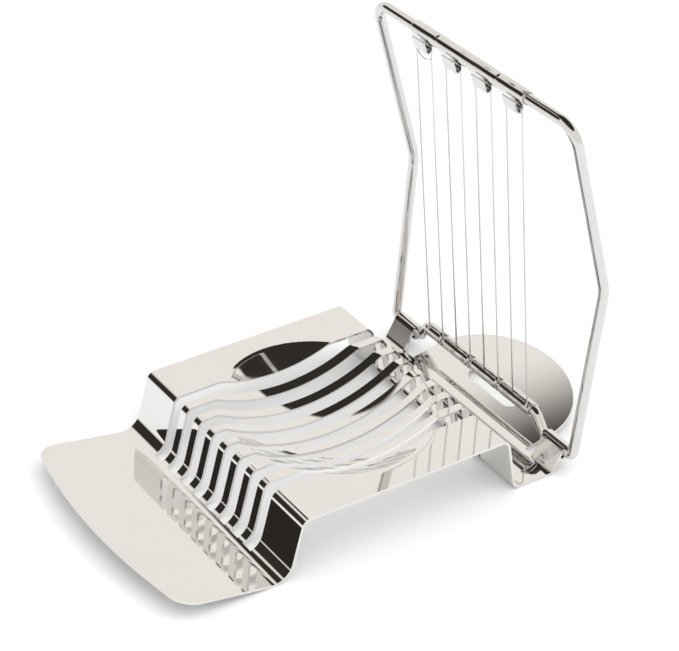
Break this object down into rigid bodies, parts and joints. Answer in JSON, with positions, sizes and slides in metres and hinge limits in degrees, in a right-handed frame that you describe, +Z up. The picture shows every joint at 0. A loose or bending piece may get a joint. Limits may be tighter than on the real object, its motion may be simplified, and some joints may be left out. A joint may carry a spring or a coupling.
{
  "type": "egg slicer",
  "caption": "Hand egg slicer: a bent polished steel base with a slotted oval dish, and a hinged wire harp that swings down through the slots.",
  "frame": {"origin": "on the table, half-way along the base and half-way across it", "axes": "+X from the front tab to the hinge and rear tab, +Y across the slicer, +Z up"},
  "size_m": [0.148, 0.0904, 0.11],
  "materials": {
    "polished_sheet": "mirror polished stainless steel sheet",
    "bright_rod": "bright round steel rod",
    "comb_strip": "bright steel strip, slightly rippled by rolling",
    "drawn_wire": "fine drawn stainless wire"
  },
  "bodies": {
    "base": {"base_plate": "polished_sheet"},
    "harp": {"harp_frame": "bright_rod", "upper_comb": "comb_strip", "lower_comb": "comb_strip", "cutting_wire": "drawn_wire"}
  },
  "joints": [
    {"name": "harp_hinge", "type": "hinge", "parent": "base", "child": "harp", "pos_m": [0.04998, 0, 0.0054], "axis": [0, -1, 0], "range_deg": [-87, 85.5]}
  ]
}
